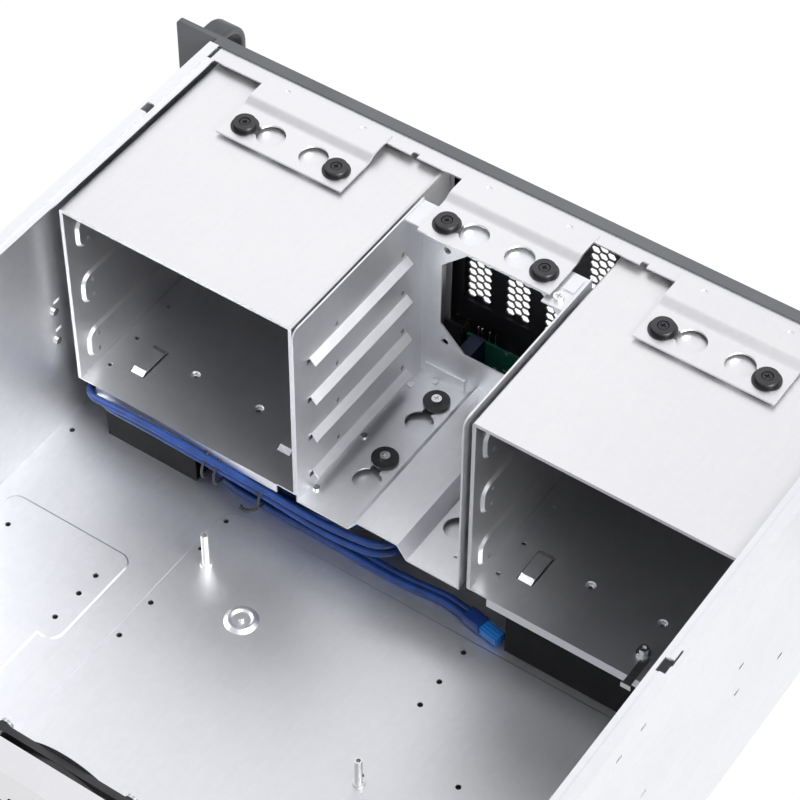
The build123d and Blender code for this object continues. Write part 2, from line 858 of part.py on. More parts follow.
def fan_frame(x):
    # Two square flanges joined by a round duct
    y1 = body_depth - sheet
    y0 = y1 - fan_depth
    centre = Pos(x, fan_height)
    square = centre * (RectangleRounded(fan_size, fan_size, 4.0) - Circle(fan_bore))
    square -= [Pos(a, b) * Circle(2.15) for a, b in fan_hole_places(x)]
    duct = centre * (Circle(fan_size / 2 - 0.1) - Circle(fan_bore))
    frame = upright(duct, y0, fan_depth)
    frame += upright(square, y0, fan_flange) + upright(square, y1 - fan_flange, fan_flange)
    frame += peg(x, fan_height, y1 - 5.0, y1, fan_hub)
    for turn in range(4):
        arm = slab(fan_hub - 1, fan_bore + 0.5, y1 - 4.0, y1, -1.6, 1.6)
        frame += Pos(x, 0, fan_height) * Rot(0, 90 * turn + 20, 0) * arm
    bore = peg(x, fan_height, y1 - 12.0, y1 - 1.0, fan_shaft + running_gap)
    return frame - bore


def fan_rotor(x):
    y1 = body_depth - sheet - 5.3
    y0 = body_depth - sheet - fan_depth + 1.5
    rotor = peg(x, fan_height, y0, y1, fan_hub)
    rotor += peg(x, fan_height, y1, y1 + 3.8, fan_shaft)
    for turn in range(fan_blades):
        blade = Pos((fan_hub + fan_bore) / 2 - 1.0, 0, 0) * Rot(38, 0, 0) * Box(fan_bore - fan_hub, 1.2, 17.0)
        placed = Pos(x, (y0 + y1) / 2, fan_height) * Rot(0, turn * 360 / fan_blades, 0) * blade
        rotor += placed
    return rotor


def fan_guard(x):
    # Wire rings on two bars, standing on the fan's inner face
    y0 = body_depth - sheet - fan_depth
    wire = guard_wire
    guard = None
    for radius in guard_rings:
        ring = Pos(x, y0 - wire, fan_height) * Rot(90, 0, 0) * Torus(radius, wire)
        guard = ring if guard is None else guard + ring
    reach = fan_holes / 2 * math.sqrt(2) - 2.6
    for turn in (45, 135):
        bar = Rot(0, turn, 0) * Cylinder(wire, 2 * reach)
        guard += Pos(x, y0 - wire, fan_height) * bar
    for a, b in fan_hole_places(x):
        guard += peg(a, b, y0 - 1.4, y0, 3.4) - peg(a, b, y0 - 3, y0 + 1, 1.9)
    return guard


def fan_screw(x, z):
    turned = Rot(90, 0, 0) * screw(0, 0, 0, 3.3, 1.6, 1.8, 8.0)
    return Pos(x, body_depth - sheet - fan_depth - 1.4, z) * turned


# Cables: two side by side, from the connector board under the cages to a hank and a plug

floor_line = sheet + 0.1 + cable_diameter / 2
lead_routes = [
    (
        (x, 13.0, socket_bottom), (x, 13.0, 24.1), (x + 0.2, 20.5, 11.1), (x + 0.8, 33.5, floor_line),
        (x + 2, 52.0, floor_line), (x + 5, 78.0, floor_line), (x + 12, 105.0, floor_line),
        (x + 21, 131.5, floor_line),
    )
    for x in (27.6, 32.0)
]
tail_routes = [
    (
        (10.0, 139.2, floor_line), (-7.0, 139.2, floor_line), (-23.5, 137.4, 3.3),
        (-37.4, 136.3, 3.9), (-51.0, 139.2, 4.6),
    ),
    (
        (10.0, 134.8, floor_line), (-8.0, 134.8, floor_line), (-24.0, 133.4, 3.3),
        (-38.2, 132.1, 3.9), (-51.8, 135.0, 4.6),
    ),
]
plug_length = 12.0
plug_tip_length = 12.5
plug_section = (9.4, 6.6)
plug_tip_section = (7.6, 5.4)
hank_top = cage_bottom - 1.0
bundle_front = 132.8
bundle_rear = 146.5
bundle_top = 33.2
bundle_outline = (
    (125.7, bundle_top), (125.7, 1.4), (10.0, 1.4), (10.0, 8.5), (2.0, 10.0), (-7.0, 18.0),
    (-8.0, 27.0), (-2.0, bundle_top),
)
tie_columns = (116.6, 108.0, 88.0)
tie_half = 0.8
tie_thick = 1.2


def corner_radii(points):
    # Each arc is as large as its two runs allow
    radii = []
    for before, here, after in zip(points, points[1:], points[2:]):
        first = Vector(*here) - Vector(*before)
        second = Vector(*after) - Vector(*here)
        half_turn = math.radians(first.get_angle(second)) / 2
        radii.append(0.45 * min(first.length, second.length) / math.tan(half_turn))
    return radii


def cable(points):
    radii = corner_radii(points)
    path = FilletPolyline(*points, radius=radii)
    section = Plane(origin=points[0], z_dir=path % 0) * Circle(cable_diameter / 2)
    tube = sweep(section, path=path)
    expected = math.pi * (cable_diameter / 2) ** 2 * path.length
    print("cable radii", [round(r) for r in radii], "volume ratio", round(tube.volume / expected, 4))
    return tube


def cable_hank():
    # The hank's outer shape: a bundle, and a loop round one foot
    x0, x1 = foot_span
    bundle = upright(
        make_face(Polyline(*bundle_outline, close=True)), bundle_front, bundle_rear - bundle_front
    )
    inside = slab(x0 - 8, x1 + 5, 119.0, 139.0, 2.3, 26.0)
    turn = slab(x1 + 4.3, x1 + 15, 119.0, 150.5, 10.0, hank_top)
    outside = slab(x0 - 8, x1 + 6, cage_rear + 0.7, 151.5, 29.0, hank_top)
    return bundle + inside + turn + outside


def cable_tie(x):
    x0, x1 = x - tie_half, x + tie_half
    band = slab(x0, x1, foot_rear - 8, bundle_rear + tie_thick, 12.0, bundle_top)
    return band - slab(x0 - 1, x1 + 1, foot_rear - 9, bundle_rear, 11.0, bundle_top + 1)


def tail_plug():
    # The plug lies in line with the last run of the two cables
    ends = [Vector(*route[-1]) for route in tail_routes]
    along = ends[0] - Vector(*tail_routes[0][-2])
    across = Vector(-along.Y, along.X, 0)
    place = Plane(origin=(ends[0] + ends[1]) * 0.5, x_dir=across, z_dir=along)
    body = extrude(RectangleRounded(*plug_section, 1.2), plug_length)
    tip = Pos(0, 0, plug_length) * extrude(Rectangle(*plug_tip_section), plug_tip_length)
    return place * (body + tip)


write("chassis_tub", chassis_tub())
write("front_frame", front_frame())
write("rear_wall", rear_wall())
write("rear_tray", rear_tray())
write("cage_foot_right", cage_foot(1))
write("cage_foot_left", cage_foot(-1))
write("cage_rail", cage_rail())
write("front_panel", front_panel())
write("handle_right", handle(1))
write("handle_left", handle(-1))
for number, box in enumerate(bay_boxes(), 1):
    write("bay_cover_" + str(number), bay_cover(box))
write("power_button", push_button(button_place, button_radius, 1.6))
write("reset_button", push_button(reset_place, reset_radius, 0.0))
write_group("indicator_lenses", [lamp(place) for place in lamp_places])
write("port_board", board(port_board_box))
write("lamp_board", board(lamp_board_box))
write_group("port_shells", port_shells())
write_group("board_pins", board_pins())
write("board_socket", board_socket())
for name, (x0, x1) in zip(("right", "left"), cage_spans()):
    write("cage_" + name + "_shell", cage_shell(x0, x1))
    bores = [clamp_screw_place] if name == "left" else []
    write("cage_" + name + "_floor", cage_floor(x0, x1, bores))
write("drive_cage", drive_cage())
write("drive_cage_top", drive_cage_top())
write("drive_cage_screw", screw(*tie_screw_place, cage_top, 3.0, 1.8, screw_shank, 3.0))
for name, centre in bracket_centres.items():
    write("bracket_" + name, hanging_bracket(centre))
write_group("bracket_grommets", [bracket_grommet(x) for x in grommet_places()])
write_group("bracket_screws", [bracket_screw(x) for x in grommet_places()])
floor_places = [(x, y) for x in keyhole_columns for y in keyhole_rows]
write_group("floor_grommets", [floor_grommet(x, y) for x, y in floor_places])
write_group("floor_grommet_screws", [floor_grommet_screw(x, y) for x, y in floor_places])
cage_rivet_places = ((48.6, 45.6), (48.6, 90.9), (48.6, 135.8), (38.8, 36.0))
high_floor = middle_floor + sheet
write_group("cage_rivets", [rivet(x, y, high_floor, 1.9) for x, y in cage_rivet_places])
wall_rivet_heights = (90.8, 68.1)
inner_wall = half_width - sheet
write_group(
    "wall_rivets", [pin(149.0, z, inner_wall - 1.6, inner_wall, 2.2) for z in wall_rivet_heights]
)
write("floor_standoff_tall", standoff(standoff_tall, 25.0))
write("floor_standoff_short", standoff(standoff_short, 20.0))
write("cage_clamp", cage_clamp())
write("cage_clamp_screw", clamp_screw())
write_group("slot_blanks", [slot_blank(x) for x in slot_centres()])
write_group("slot_screws", [slot_screw(x) for x in slot_centres()])
for number, x in enumerate(fan_columns, 1):
    write("fan_" + str(number) + "_frame", fan_frame(x))
    write("fan_" + str(number) + "_rotor", fan_rotor(x))
    write("fan_" + str(number) + "_guard", fan_guard(x))
write_group("fan_screws", [fan_screw(a, b) for x in fan_columns for a, b in fan_hole_places(x)])
write("cable_hank", cable_hank())
write_group("cable_ties", [cable_tie(x) for x in tie_columns])
for letter, lead, tail in zip("ab", lead_routes, tail_routes):
    write("cable_lead_" + letter, cable(lead))
    write("cable_tail_" + letter, cable(tail))
write("tail_plug", tail_plug())
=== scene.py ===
import json
import math

import bmesh
import bpy
from mathutils import Euler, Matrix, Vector


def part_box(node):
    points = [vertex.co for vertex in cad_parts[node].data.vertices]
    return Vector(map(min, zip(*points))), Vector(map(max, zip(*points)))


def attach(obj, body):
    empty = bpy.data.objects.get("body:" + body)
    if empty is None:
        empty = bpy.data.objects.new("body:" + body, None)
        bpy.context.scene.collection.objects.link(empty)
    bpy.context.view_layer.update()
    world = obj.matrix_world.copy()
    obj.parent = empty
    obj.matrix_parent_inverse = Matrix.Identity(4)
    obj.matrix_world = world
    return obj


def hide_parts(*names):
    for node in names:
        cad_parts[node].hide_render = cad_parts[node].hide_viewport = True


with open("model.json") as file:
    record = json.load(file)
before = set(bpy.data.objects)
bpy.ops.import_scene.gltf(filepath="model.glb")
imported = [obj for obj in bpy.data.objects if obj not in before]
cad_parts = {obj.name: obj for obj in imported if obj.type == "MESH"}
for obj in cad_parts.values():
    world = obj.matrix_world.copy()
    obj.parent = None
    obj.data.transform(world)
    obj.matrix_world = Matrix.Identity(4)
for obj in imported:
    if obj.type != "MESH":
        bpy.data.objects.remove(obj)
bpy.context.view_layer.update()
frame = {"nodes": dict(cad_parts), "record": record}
nodes = frame["nodes"]
record = frame["record"]

# The part's lengths are given in millimetres, with Y from the case's middle
frontSheet = -0.20395


def point(x, y, z):
    # A point in millimetres, Y from the inner front sheet, as one in metres
    return Vector((x / 1000, y / 1000 + frontSheet, z / 1000))


# Camera, as the photograph was taken: high behind the rear right corner
camera = {
    "place": (-0.53693, 0.71735, 1.22366),
    "turn": (41.3811, -0.3429, -145.5225),
    "lens": 128.12,
    "sensor": 36.0,
}


def addCamera():
    data = bpy.data.cameras.new("view")
    data.lens = camera["lens"]
    data.sensor_width = camera["sensor"]
    data.clip_start = 0.05
    data.clip_end = 40
    view = bpy.data.objects.new("view", data)
    view.location = camera["place"]
    view.rotation_euler = Euler([math.radians(a) for a in camera["turn"]])
    bpy.context.collection.objects.link(view)
    bpy.context.scene.camera = view


addCamera()
print("camera placed")


# Shader sums


class Value:
    # A shader socket that takes part in sums and products
    def __init__(self, tree, socket):
        self.tree = tree
        self.socket = socket

    def maths(self, kind, first, second=None):
        node = self.tree.nodes.new("ShaderNodeMath")
        node.operation = kind
        for place, item in enumerate((first, second)):
            if isinstance(item, Value):
                self.tree.links.new(item.socket, node.inputs[place])
            elif item is not None:
                node.inputs[place].default_value = item
        return Value(self.tree, node.outputs[0])

    def __add__(self, other):
        return self.maths("ADD", self, other)

    def __radd__(self, other):
        return self.maths("ADD", other, self)

    def __sub__(self, other):
        return self.maths("SUBTRACT", self, other)

    def __rsub__(self, other):
        return self.maths("SUBTRACT", other, self)

    def __mul__(self, other):
        return self.maths("MULTIPLY", self, other)

    def __rmul__(self, other):
        return self.maths("MULTIPLY", other, self)

    def size(self):
        return self.maths("ABSOLUTE", self)

    def larger(self, other):
        return self.maths("MAXIMUM", self, other)

    def ramp(self, low, high):
        # 0 below low, 1 above high, smooth between
        node = self.tree.nodes.new("ShaderNodeMapRange")
        node.interpolation_type = "SMOOTHSTEP"
        self.tree.links.new(self.socket, node.inputs["Value"])
        node.inputs["From Min"].default_value = low
        node.inputs["From Max"].default_value = high
        return Value(self.tree, node.outputs["Result"])


class Paint:
    # One material: a principled shader with patterns measured in metres
    def __init__(self, name, colour, roughness, metallic=0.0, **fixed):
        self.material = bpy.data.materials.new(name)
        self.material.use_nodes = True
        self.tree = self.material.node_tree
        self.shader = self.tree.nodes["Principled BSDF"]
        self.set("Base Color", colour)
        self.set("Roughness", roughness)
        self.set("Metallic", metallic)
        for key, value in fixed.items():
            self.set(key.replace("_", " "), value)
        self.where = self.tree.nodes.new("ShaderNodeTexCoord").outputs["Object"]

    def set(self, key, value):
        socket = self.shader.inputs[key]
        if isinstance(value, Value):
            self.tree.links.new(value.socket, socket)
        elif isinstance(value, tuple) and len(value) == 3:
            socket.default_value = (*value, 1.0)
        else:
            socket.default_value = value

    def node(self, kind, links=(), **settings):
        made = self.tree.nodes.new(kind)
        for key, value in settings.items():
            setattr(made, key, value)
        for key, value in dict(links).items():
            if isinstance(value, Value):
                self.tree.links.new(value.socket, made.inputs[key])
            else:
                made.inputs[key].default_value = value
        return made

    def spread(self, stretch):
        if stretch == (1, 1, 1):
            return Value(self.tree, self.where)
        made = self.node("ShaderNodeMapping", {"Vector": Value(self.tree, self.where), "Scale": stretch})
        return Value(self.tree, made.outputs["Vector"])

    def noise(self, size, detail=2.0, stretch=(1, 1, 1)):
        links = {"Vector": self.spread(stretch), "Scale": 1 / size, "Detail": detail}
        return Value(self.tree, self.node("ShaderNodeTexNoise", links).outputs["Fac"])

    def cells(self, size, stretch=(1, 1, 1)):
        # A random grey for each crystal
        links = {"Vector": self.spread(stretch), "Scale": 1 / size}
        made = self.node("ShaderNodeTexVoronoi", links)
        grey = self.node("ShaderNodeRGBToBW", {"Color": Value(self.tree, made.outputs["Color"])})
        return Value(self.tree, grey.outputs["Val"])

    def axis(self, name):
        made = self.node("ShaderNodeSeparateXYZ", {"Vector": Value(self.tree, self.where)})
        return Value(self.tree, made.outputs[name])

    def blend(self, amount, low, high):
        made = self.node("ShaderNodeMix", {"Factor": amount}, data_type="RGBA")
        for socket, colour in ((made.inputs[6], low), (made.inputs[7], high)):
            if isinstance(colour, Value):
                self.tree.links.new(colour.socket, socket)
            else:
                socket.default_value = (*colour, 1.0)
        return Value(self.tree, made.outputs[2])

    def bump(self, height, depth, strength=1.0):
        links = {"Height": height, "Distance": depth, "Strength": strength}
        made = self.node("ShaderNodeBump", links)
        self.tree.links.new(made.outputs["Normal"], self.shader.inputs["Normal"])


def lerp(value, low, high):
    return value * (high - low) + low


# Materials

zinc = {
    "dark": (0.80, 0.81, 0.835), "light": (0.87, 0.875, 0.895),
    "roughness": (0.40, 0.46), "crystal": 0.004,
}
brightZinc = {
    "dark": (0.775, 0.777, 0.79), "light": (0.825, 0.825, 0.835),
    "roughness": (0.40, 0.46), "crystal": 0.003,
}
panelPaint = {
    "dark": (0.085, 0.088, 0.094), "light": (0.10, 0.103, 0.11), "roughness": (0.42, 0.52),
    # inside: near black, painted shade on the panel's faces inside the case
    "inside": (0.010, 0.010, 0.012),
    "behind": (-0.2103, -0.2101), "below": (0.1752, 0.1754), "within": (0.2127, 0.2129),
}
board = {
    "mask": (0.006, 0.085, 0.05), "track": (0.014, 0.15, 0.09), "pad": (0.55, 0.56, 0.52),
    "roughness": 0.3, "coat": 0.4, "trackSize": 0.0022, "padSize": 0.0021,
}


def coatedSheet(name, look):
    # Zinc coated steel: faint crystals, slow clouds and fine rolling marks
    paint = Paint(name, look["light"], 0.3, 1.0)
    crystals = paint.cells(look["crystal"])
    clouds = paint.noise(0.06, 3.0)
    marks = paint.noise(0.0016, 2.0, (1, 0.05, 1))
    tone = crystals * 0.2 + clouds * 0.5 + marks * 0.3
    paint.set("Base Color", paint.blend(tone.ramp(0.15, 0.85), look["dark"], look["light"]))
    paint.set("Roughness", lerp(clouds * 0.6 + crystals * 0.4, *look["roughness"]))
    paint.bump(marks * 0.5 + paint.noise(0.0009, 1.0) * 0.5, 0.00002, 0.25)
    return paint.material


def paintedPanel():
    # Fine textured dark paint, with painted shade: near black on the faces inside the case
    paint = Paint("panel_paint", panelPaint["light"], 0.5, 0.0)
    grain = paint.noise(0.0007, 2.0)
    clouds = paint.noise(0.05, 2.0)
    grey = paint.blend(clouds.ramp(0.3, 0.7), panelPaint["dark"], panelPaint["light"])
    # Mask of the faces inside the case, which get the near-black painted shade
    inside = paint.axis("Y").ramp(*panelPaint["behind"])
    inside = inside * (1 - paint.axis("Z").ramp(*panelPaint["below"]))
    inside = inside * (1 - paint.axis("X").size().ramp(*panelPaint["within"]))
    paint.set("Base Color", paint.blend(inside, grey, panelPaint["inside"]))
    paint.set("Roughness", lerp(grain, *panelPaint["roughness"]))
    paint.bump(grain, 0.00006, 0.5)
    return paint.material


def moulded(name, dark, light, roughness, grainSize=0.0006, depth=0.00003):
    # Moulded plastic or rubber with a fine skin
    paint = Paint(name, light, roughness)
    grain = paint.noise(grainSize, 2.0)
    clouds = paint.noise(0.012, 2.0)
    paint.set("Base Color", paint.blend(clouds.ramp(0.3, 0.7), dark, light))
    paint.set("Roughness", lerp(grain, roughness - 0.05, roughness + 0.06))
    paint.bump(grain, depth, 0.4)
    return paint.material


def platedSteel(name, dark, light, roughness):
    # Bright plated fasteners with fine turning marks
    paint = Paint(name, light, roughness, 1.0)
    marks = paint.noise(0.0005, 3.0)
    paint.set("Base Color", paint.blend(marks.ramp(0.3, 0.7), dark, light))
    paint.set("Roughness", lerp(marks, roughness - 0.05, roughness + 0.08))
    paint.bump(marks, 0.00002, 0.3)
    return paint.material


def circuitBoard():
    # Glossy green mask over slightly raised tracks
    paint = Paint("circuit_board", board["track"], board["roughness"], Coat_Weight=board["coat"])
    tracks = paint.noise(board["trackSize"], 1.0, (1, 1, 6)).ramp(0.5, 0.54)
    pads = paint.cells(board["padSize"]).ramp(0.82, 0.86)
    green = paint.blend(tracks, board["mask"], board["track"])
    paint.set("Base Color", paint.blend(pads * 0.7, green, board["pad"]))
    paint.bump(tracks, 0.00004, 0.6)
    return paint.material


def lensPlastic():
    # Clear, faintly uneven lens plastic
    paint = Paint("lens_plastic", (0.93, 0.95, 0.97), 0.06, Transmission_Weight=1.0)
    paint.bump(paint.noise(0.001, 1.0), 0.00001, 0.2)
    return paint.material


materials = {
    "galvanised": coatedSheet("zinc_sheet", zinc),
    "bright_sheet": coatedSheet("bright_zinc_sheet", brightZinc),
    "dark_panel": paintedPanel(),
    "cover_plastic": moulded("cover_plastic", (0.02, 0.02, 0.022), (0.03, 0.03, 0.033), 0.5),
    "black_plastic": moulded("black_plastic", (0.012, 0.012, 0.014), (0.022, 0.022, 0.025), 0.42),
    "grommet_rubber": moulded("grommet_rubber", (0.012, 0.012, 0.013), (0.022, 0.022, 0.025), 0.32),
    "screw_steel": platedSteel("plated_steel", (0.62, 0.63, 0.64), (0.88, 0.88, 0.88), 0.22),
    "black_screw": platedSteel("black_screw", (0.03, 0.03, 0.035), (0.09, 0.09, 0.1), 0.3),
    "board_green": circuitBoard(),
    "cable_blue": moulded("cable_jacket", (0.008, 0.037, 0.165), (0.013, 0.057, 0.25), 0.42, 0.0008),
    "plug_blue": moulded("plug_plastic", (0.003, 0.012, 0.058), (0.005, 0.018, 0.080), 0.4),
    "lens_clear": lensPlastic(),
    "pin_metal": platedSteel("pin_metal", (0.82, 0.82, 0.80), (0.94, 0.94, 0.92), 0.24),
}
# The cage feet in near black with little shine: partly their own dark face, partly painted shade of the
# space under the cages
footPaintedShade = moulded("foot_painted_shade", (0.006, 0.006, 0.007), (0.010, 0.010, 0.011), 0.6)
footPaintedShade.node_tree.nodes["Principled BSDF"].inputs["Specular IOR Level"].default_value = 0.15
standoffSteel = platedSteel("standoff_steel", (0.88, 0.88, 0.87), (0.95, 0.95, 0.94), 0.45)
tieWire = moulded("tie_wire", (0.018, 0.018, 0.02), (0.03, 0.03, 0.034), 0.6)

for part in record["subparts"]:
    thing = nodes[part["node"]]
    thing.data.materials.clear()
    thing.data.materials.append(materials[part["material_slot"]])
# The feet take the near-black painted shade
for name in ("cage_foot_right", "cage_foot_left"):
    nodes[name].data.materials[0] = footPaintedShade
for name in ("floor_standoff_tall", "floor_standoff_short"):
    nodes[name].data.materials[0] = standoffSteel
print("materials made")


# Cables: two side by side, from the connector board to the hank and the plug

# Their routes are in millimetres from the inner front sheet

cable = {"diameter": 0.0042, "length": 0.907, "columns": (27.6, 32.0)}
hankRoutes = (
    (
        (38, 102, 3.2), (45, 118, 3.2), (58, 126.6, 3.2), (78, 128, 3.4), (98, 127.6, 5.2), (122, 127, 10),
        (146, 126.5, 15.8), (168, 127.2, 22), (182, 128, 27), (193, 128.4, 29), (199.3, 134.6, 31),
        (199.3, 143.2, 32.8), (193, 149.4, 34.4), (180, 149.7, 35.8), (168, 149.6, 36.4),
        (152, 149.3, 36.6), (132, 149, 35.4), (112, 148.2, 33.4), (92, 146.8, 31), (70, 145.6, 28.6),
        (50, 144.8, 26), (33, 144, 25.5), (19, 143.6, 27), (7.5, 142.5, 27.5), (-0.5, 136.5, 26.5),
        (-1.5, 128, 23), (5.5, 121, 18), (17, 120, 14.5), (31, 125.5, 13), (50, 133, 13.5),
        (70, 137.2, 14.5), (92, 138.3, 16),
        (112, 138, 17), (132, 136.8, 17.2), (150, 135.8, 16.7), (159.9, 135.6, 16.6), (165.4, 131.7, 12.7),
        (165.4, 126.1, 7.3), (159.9, 122.2, 3.4), (150, 121.9, 3.2), (138, 124.6, 3.2), (122, 131.2, 3.2),
        (106, 137.2, 3.2), (84, 137.6, 3.2), (62, 137.6, 3.2), (46, 137.6, 3.2), (28, 138.2, 3.2),
    ),
    (
        (42.5, 100, 3.2), (50, 114.5, 3.2), (63, 122.6, 3.2), (84, 123.6, 3.2), (106, 123.2, 5),
        (130, 122.4, 9.6), (152, 121.8, 15.5), (168, 122.4, 20), (180, 123.2, 22), (190, 125.4, 24),
        (196.3, 132, 25.6), (195.3, 141, 27.8), (186, 147.4, 30.2), (171, 148.8, 31.8), (152, 148.9, 32.3),
        (132, 148.6, 31), (112, 147.8, 29), (92, 146.4, 26.5), (70, 144.8, 22.5), (50, 143.4, 18),
        (33, 142.6, 16), (19, 142, 17), (8.5, 141.3, 18.4), (0.9, 137.6, 19.4), (-2.9, 130.6, 18.6),
        (-0.9, 123.4, 16.2), (6, 118.9, 13.4), (18, 118.4, 10.4), (31, 123.6, 8.8), (50, 130.5, 9.2),
        (70, 133, 11), (92, 133.8, 13.5), (112, 132.8, 15), (132, 132, 17.8), (149.5, 132.3, 19.5),
        (158.6, 132.4, 19.7), (164.4, 128.5, 15.8), (164.4, 122.9, 10.3), (158.6, 119, 6.5),
        (148, 117.8, 3.6), (136, 120.2, 3.2), (120, 126.8, 3.2), (104, 132.8, 3.2), (84, 133.2, 3.2),
        (62, 133.2, 3.2), (46, 133.2, 3.2), (28, 133.8, 3.2),
    ),
)
tailRoutes = (
    ((10, 139.2, 3.2), (-7, 139.2, 3.2), (-23.5, 137.4, 3.3), (-37.4, 136.3, 3.9), (-51, 139.2, 4.6)),
    ((10, 134.8, 3.2), (-8, 134.8, 3.2), (-24, 133.4, 3.3), (-38.2, 132.1, 3.9), (-51.8, 135, 4.6)),
)


def leadRoute(x):
    # Down from the socket and back along the floor under the middle cage
    return (
        (x, 13, 36), (x, 13, 24.1), (x + 0.2, 20.5, 11.1),
        (x + 0.8, 33.5, 3.2), (x + 2, 52, 3.2), (x + 5, 78, 3.2),
    )


def tube(name, route, radius, material, closed=False):
    # A smooth round cord through control points
    data = bpy.data.curves.new(name, "CURVE")
    data.dimensions = "3D"
    line = data.splines.new("NURBS")
    line.points.add(len(route) - 1)
    for place, spot in zip(line.points, route):
        place.co = (*point(*spot), 1.0)
    line.order_u = 3
    line.use_endpoint_u = not closed
    line.use_cyclic_u = closed
    line.resolution_u = 12
    data.bevel_depth = radius
    data.bevel_resolution = 5
    data.use_fill_caps = True
    data.materials.append(material)
    made = bpy.data.objects.new(name, data)
    bpy.context.collection.objects.link(made)
    return made


tie = {
    "radius": 0.0008, "steps": 10, "square": 0.75,
    "endSteps": 12, "endTurns": 2.0, "endTwist": 0.7, "endBow": 3.0, "endFall": 2.6,
}
tieRings = (
    {"x": 115.4, "lean": 1.6, "front": 151.4, "back": 129.6, "low": 12.6, "high": 37.6, "ends": 0},
    {"x": 107.6, "lean": 1.6, "front": 150.8, "back": 129.4, "low": 12.0, "high": 36.8, "ends": 0},
    {"x": 79.0, "lean": 2.4, "front": 148.8, "back": 129.8, "low": 9.0, "high": 33.2, "ends": 10.0},
)


def tieRing(name, ring):
    # A turn of wire round the bundle, squarish, and leaning a little along it
    middle = (ring["front"] + ring["back"]) / 2
    centre = (ring["low"] + ring["high"]) / 2
    route = []
    for step in range(tie["steps"]):
        angle = math.tau * step / tie["steps"]
        across = math.copysign(abs(math.cos(angle)) ** tie["square"], math.cos(angle))
        rise = math.copysign(abs(math.sin(angle)) ** tie["square"], math.sin(angle))
        y = middle + across * (ring["front"] - middle)
        z = centre + rise * (ring["high"] - centre)
        route.append((ring["x"] - ring["lean"] * rise, y, z))
    return tube(name, route, tie["radius"], tieWire, closed=True)


def tieEnds(name, ring):
    # The two ends twisted round each other, bent over in a small loop
    pieces = []
    for half in (0, 1):
        route = []
        for step in range(tie["endSteps"] + 1):
            along = step / tie["endSteps"]
            angle = math.tau * tie["endTurns"] * along + math.pi * half
            bow = tie["endBow"] * math.sin(along * 2.6)
            x = ring["x"] + 2 + ring["ends"] * along
            y = ring["front"] - 1.2 + bow + tie["endTwist"] * math.cos(angle)
            z = ring["low"] + 2.2 - tie["endFall"] * along + tie["endTwist"] * math.sin(angle)
            route.append((x, y, z))
        pieces.append(tube(name + "_" + str(half + 1), route, tie["radius"] * 0.9, tieWire))
    return pieces


def addTies():
    pieces = []
    for number, ring in enumerate(tieRings, 1):
        pieces.append(tieRing("tie_" + str(number), ring))
        if ring["ends"]:
            pieces += tieEnds("tie_" + str(number) + "_end", ring)
    for piece in pieces:
        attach(piece, "case")
        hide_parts("cable_ties")
    return pieces


plug = {
    "body": 0.012, "ridge": 0.0011, "roughness": 0.34,
    # light: the lighter blue on the tip's ridges, a painted highlight
    "dark": (0.008, 0.14, 0.50), "light": (0.02, 0.22, 0.68),
    "bodyDark": (0.009, 0.035, 0.17), "bodyLight": (0.015, 0.05, 0.23),
}


def plugPlastic():
    # The body in the jacket's blue and the tip in a brighter one, told apart along the plug; the tip's
    # ridges get painted highlights
    paint = Paint("plug_plastic_two", plug["light"], plug["roughness"])
    before, end = point(*tailRoutes[0][-2]), point(*tailRoutes[0][-1])
    along = (end - before).normalized()
    start = (end + point(*tailRoutes[1][-1])) / 2
    offset = start.x * along.x + start.y * along.y
    depth = paint.axis("X") * along.x + paint.axis("Y") * along.y - offset
    tip = depth.ramp(plug["body"], plug["body"] + 0.0002)
    across = paint.axis("Y") * along.x - paint.axis("X") * along.y
    ridgesAndHighlights = across.maths("PINGPONG", across, plug["ridge"]).ramp(0.0003, 0.0007)
    # The ridges are raised by the bump and painted in the lighter blue: painted highlights on real ridges
    bright = paint.blend(ridgesAndHighlights, plug["dark"], plug["light"])
    body = paint.blend(paint.noise(0.01).ramp(0.3, 0.7), plug["bodyDark"], plug["bodyLight"])
    paint.set("Base Color", paint.blend(tip, body, bright))
    paint.bump(ridgesAndHighlights * tip, 0.0002, 0.6)
    return paint.material


def addCables():
    wires = addTies()
    for letter, x, hank, tail in zip("ab", cable["columns"], hankRoutes, tailRoutes):
        route = leadRoute(x) + hank + tail
        made = tube("cable_" + letter, route, cable["diameter"] / 2, materials["cable_blue"])
        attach(made, "case")
        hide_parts("cable_lead_" + letter, "cable_tail_" + letter, "cable_hank")
        tuple(point(*route[0]))


addCables()
nodes["tail_plug"].data.materials[0] = plugPlastic()
print("cables laid")


def addPiece(name, form, material, replaced):
    # A mesh that rides on the case in place of a node, its real corners kept sharp
    data = bpy.data.meshes.new(name)
    form.to_mesh(data)
    form.free()
    if "custom_normal" in data.attributes:
        data.attributes.remove(data.attributes["custom_normal"])
    data.set_sharp_from_angle(angle=math.radians(32))
    data.materials.clear()
    data.materials.append(material)
    made = bpy.data.objects.new(name, data)
    bpy.context.collection.objects.link(made)
    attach(made, "case")
    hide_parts(replaced)


# Handles: bows of flat bar with well rounded edges, satin black

handle = {
    "thick": 0.0046, "round": 0.0017, "bend": 0.0165, "top": 0.1758,
    "turns": 9, "cornerSteps": 4, "flatArea": 0.0001, "sunk": 0.0002,
}
handlePaint = moulded("handle_paint", (0.040, 0.041, 0.045), (0.054, 0.055, 0.060), 0.36, 0.0008)


